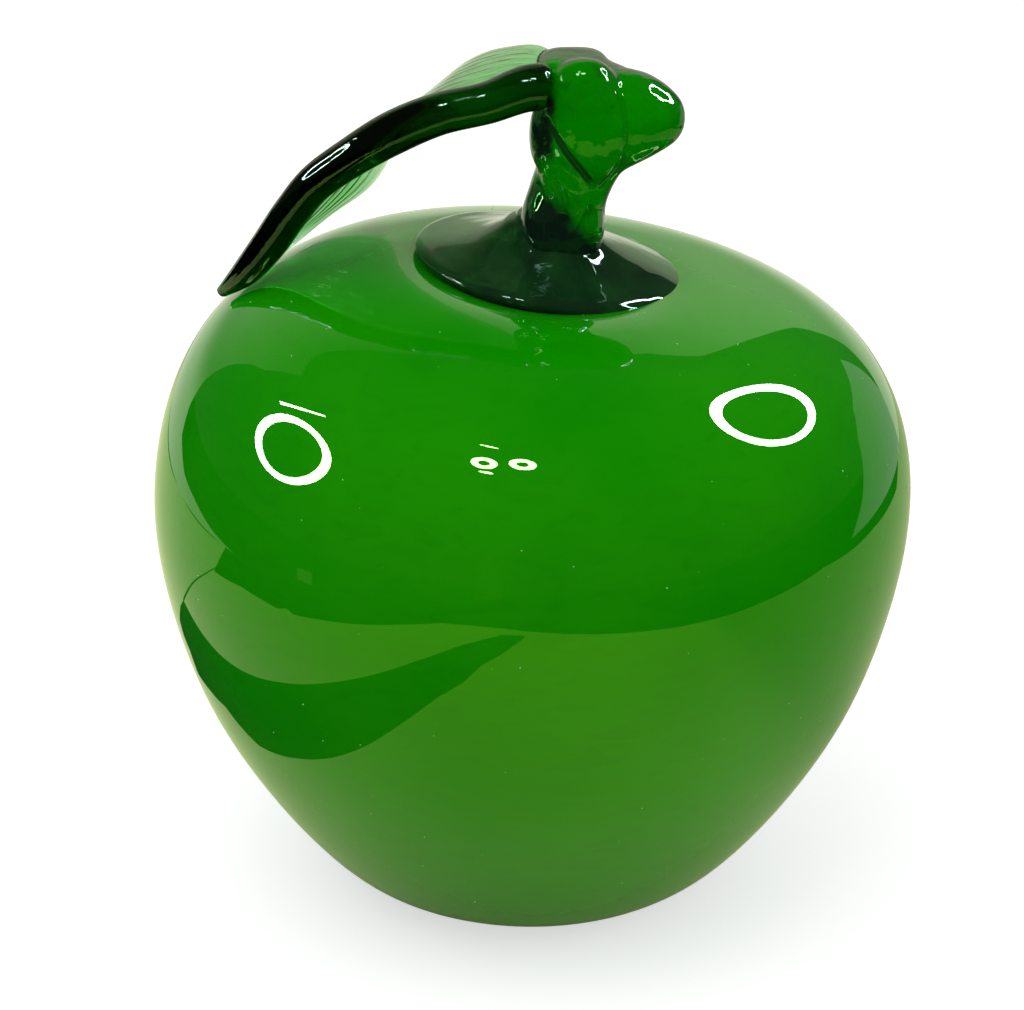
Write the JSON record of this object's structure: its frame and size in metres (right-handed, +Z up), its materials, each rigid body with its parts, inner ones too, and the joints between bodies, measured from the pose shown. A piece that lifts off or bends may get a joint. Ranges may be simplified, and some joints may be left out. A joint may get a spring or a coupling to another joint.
{
  "type": "glass apple ornament",
  "caption": "Hand-blown green cased-glass apple with a dark glass stalk and a drawn leaf whose tip rests on the shoulder.",
  "frame": {"origin": "centre of the ground base, where the apple stands", "axes": "+Z up; the side with the stalk's knob to the right and the leaf to the left faces -Y"},
  "size_m": [0.113, 0.113, 0.1305],
  "materials": {
    "casing_glass": "fire-polished gloss",
    "opal_glass": "opaque gloss",
    "stalk_glass": "fire-polished gloss",
    "leaf_glass": "fire-polished gloss"
  },
  "bodies": {
    "root": {"body_casing": "casing_glass", "body_lining": "opal_glass", "stem_pad": "stalk_glass", "stem": "stalk_glass", "leaf": "leaf_glass"}
  },
  "joints": []
}
